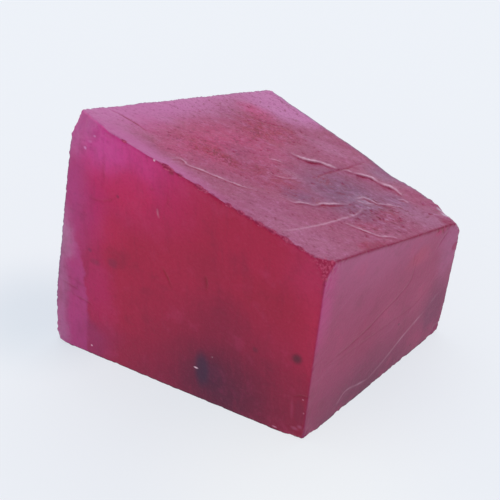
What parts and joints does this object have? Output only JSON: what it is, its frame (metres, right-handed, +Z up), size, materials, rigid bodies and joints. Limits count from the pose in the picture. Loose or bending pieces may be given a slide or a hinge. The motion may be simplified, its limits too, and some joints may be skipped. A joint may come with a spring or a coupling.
{
  "type": "rough ruby",
  "caption": "Saw-cut block of cloudy crimson ruby with a sloping, flaked top, chipped edges and a flat base to rest on.",
  "frame": {"origin": "on the flat base, under the middle of the block's bounding box", "axes": "+X along the long front side from the high end to the low end, +Y from the front side to the back, +Z up from the base"},
  "size_m": [0.0337, 0.0292, 0.0277],
  "materials": {
    "ruby": "satin"
  },
  "bodies": {
    "root": {"ruby_block": "ruby"}
  },
  "joints": []
}
